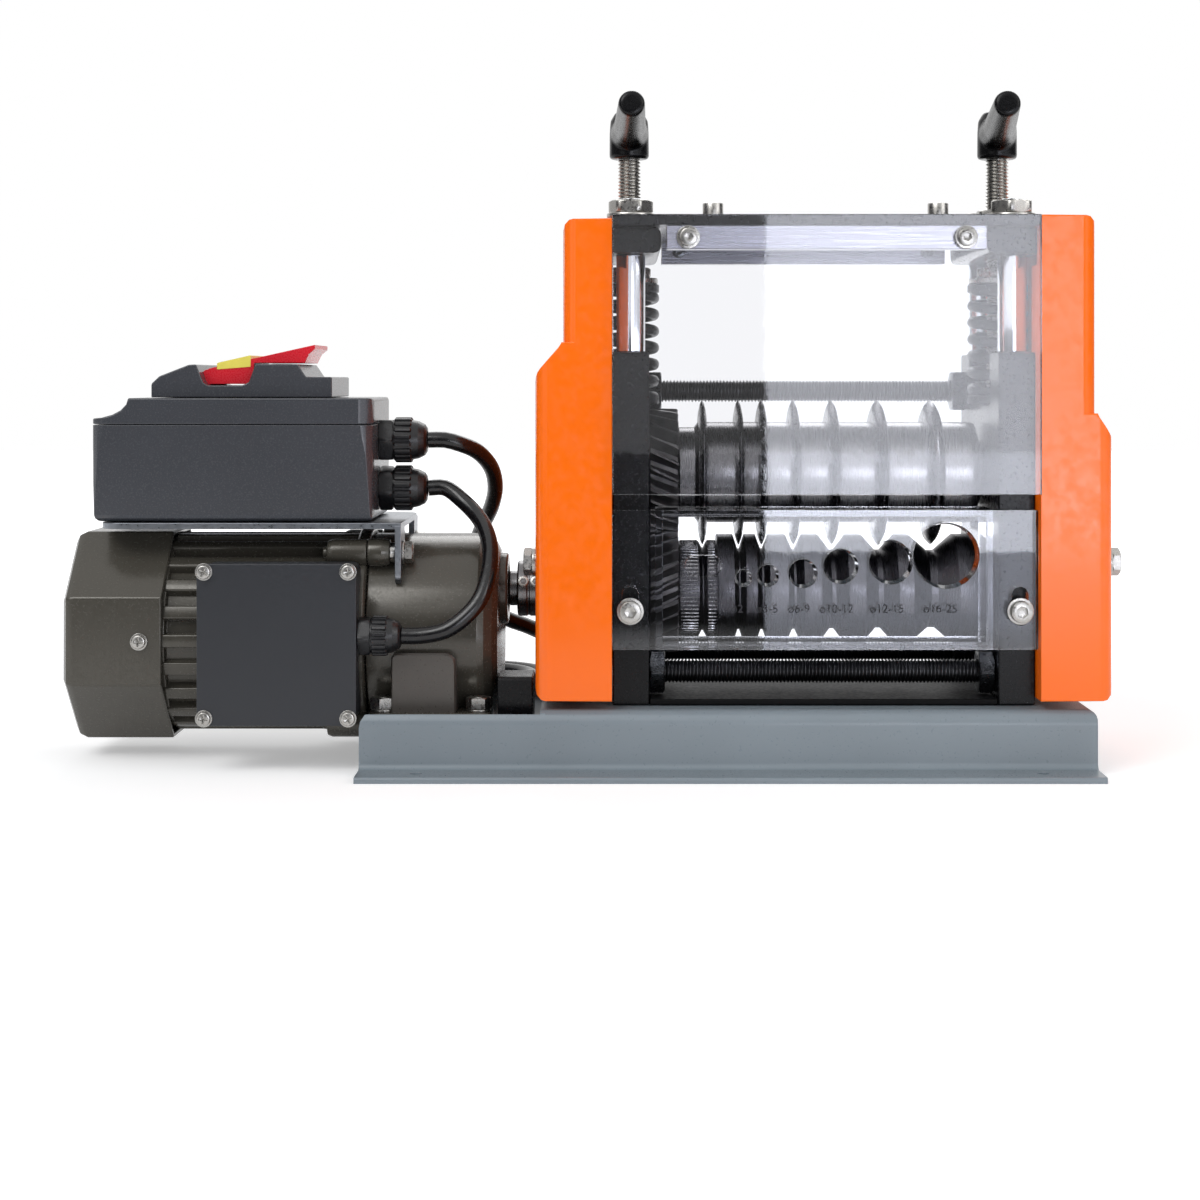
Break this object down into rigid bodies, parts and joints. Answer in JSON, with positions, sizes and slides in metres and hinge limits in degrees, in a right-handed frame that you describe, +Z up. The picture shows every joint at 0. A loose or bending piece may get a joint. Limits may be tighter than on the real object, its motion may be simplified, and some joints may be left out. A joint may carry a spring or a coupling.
{
  "type": "wire stripping machine",
  "caption": "Bench wire stripping machine: geared motor, grooved roll under round blades, press screws with lever handles, clear guards and a feed plate.",
  "frame": {"origin": "middle of the machine's bounding box without the mains cord, coil and plug, on the bench", "axes": "+X along the rolls away from the motor, +Y from the feed side to the rear, +Z up"},
  "size_m": [0.4384, 0.3143, 0.2792],
  "materials": {
    "base_paint": "satin blue-grey paint",
    "black_paint": "black paint",
    "chrome": "polished",
    "steel": "turned steel",
    "aluminium": "brushed",
    "acrylic": "clear sheet",
    "orange_paint": "gloss paint",
    "motor_paint": "dark bronze-grey metallic paint",
    "terminal_paint": "satin dark grey paint",
    "black_plastic": "satin moulded",
    "cable_rubber": "cable sheath",
    "red_plastic": "moulded red",
    "green_plastic": "moulded green"
  },
  "bodies": {
    "frame": {"base_pan": "base_paint", "frame_floor_plate": "black_paint", "side_plate_left": "black_paint", "side_plate_right": "black_paint", "top_bar_left": "black_paint", "top_bar_right": "black_paint", "guide_rod_front_left": "chrome", "guide_rod_front_right": "chrome", "guide_rod_rear_left": "chrome", "guide_rod_rear_right": "chrome", "tie_rod_lower_front": "steel", "tie_rod_lower_rear": "steel", "tie_rod_upper_rear": "steel", "top_plate": "black_paint", "guard_bar_front": "aluminium", "guard_bar_rear": "aluminium", "upper_guard": "acrylic", "cover_left": "orange_paint", "cover_right": "orange_paint", "gearbox": "motor_paint", "deck_block": "black_paint", "motor_body": "motor_paint", "fan_cover": "motor_paint", "terminal_box": "terminal_paint", "switch_bracket": "base_paint", "switch_box": "black_plastic", "switch_lid": "black_plastic", "switch_base": "black_plastic", "gland_mains": "black_plastic", "gland_lead_box": "black_plastic", "gland_lead_motor": "black_plastic", "motor_lead": "cable_rubber", "mains_cord": "cable_rubber", "mains_coil": "cable_rubber", "mains_plug": "black_plastic"},
    "carriage": {"bearing_block_left": "black_paint", "bearing_block_right": "black_paint", "spring_left": "black_paint", "spring_right": "black_paint"},
    "press_left": {"press_screw_left": "steel", "handle_left": "black_plastic"},
    "press_right": {"press_screw_right": "steel", "handle_right": "black_plastic"},
    "upper_roll": {"upper_shaft": "steel", "gear_upper": "steel", "blade_1": "steel", "blade_2": "steel", "blade_3": "steel", "blade_4": "steel", "blade_5": "steel", "blade_6": "steel", "blade_7": "steel"},
    "drive_roll": {"lower_roll": "steel", "gear_lower": "steel", "coupling": "steel"},
    "fan": {"fan_rotor": "black_plastic"},
    "guide": {"feed_guide": "acrylic"},
    "flap": {"switch_flap": "red_plastic"},
    "start": {"button_start": "green_plastic"},
    "stop": {"button_stop": "red_plastic"}
  },
  "joints": [
    {"name": "drive_roll_spin", "type": "hinge", "parent": "frame", "child": "drive_roll", "pos_m": [0.09675, 0, 0.0701], "axis": [1, 0, 0], "continuous": true},
    {"name": "carriage_lift", "type": "slide", "parent": "frame", "child": "carriage", "axis": [0, 0, 1], "range_m": [-0.001, 0.003]},
    {"name": "upper_roll_spin", "type": "hinge", "parent": "carriage", "child": "upper_roll", "pos_m": [0.09675, 0, 0.1206], "axis": [1, 0, 0], "continuous": true},
    {"name": "press_left_turn", "type": "hinge", "parent": "carriage", "child": "press_left", "pos_m": [0.01675, 0, 0.2], "axis": [0, 0, 1], "range_deg": [-241, 721]},
    {"name": "press_right_turn", "type": "hinge", "parent": "carriage", "child": "press_right", "pos_m": [0.17675, 0, 0.2], "axis": [0, 0, 1], "range_deg": [-241, 721]},
    {"name": "fan_spin", "type": "hinge", "parent": "frame", "child": "fan", "pos_m": [-0.20325, 0, 0.052], "axis": [1, 0, 0], "continuous": true},
    {"name": "guide_slide", "type": "slide", "parent": "frame", "child": "guide", "axis": [0, 0, 1], "range_m": [-0.0024, 0]},
    {"name": "flap_open", "type": "hinge", "parent": "frame", "child": "flap", "pos_m": [-0.16245, 0, 0.1619], "axis": [0, -1, 0], "range_deg": [0, 55]},
    {"name": "start_press", "type": "slide", "parent": "frame", "child": "start", "axis": [0, 0, 1], "range_m": [-0.0015, 0], "stiffness_N_per_m": 300},
    {"name": "stop_press", "type": "slide", "parent": "frame", "child": "stop", "axis": [0, 0, 1], "range_m": [-0.0015, 0], "stiffness_N_per_m": 300}
  ],
  "couplings": [
    {"joint": "upper_roll_spin", "follows": "drive_roll_spin", "ratio": -1},
    {"joint": "fan_spin", "follows": "drive_roll_spin", "ratio": 20},
    {"joint": "press_left_turn", "follows": "carriage_lift", "rad_per_m": 4188.8},
    {"joint": "press_right_turn", "follows": "carriage_lift", "rad_per_m": 4188.8}
  ]
}
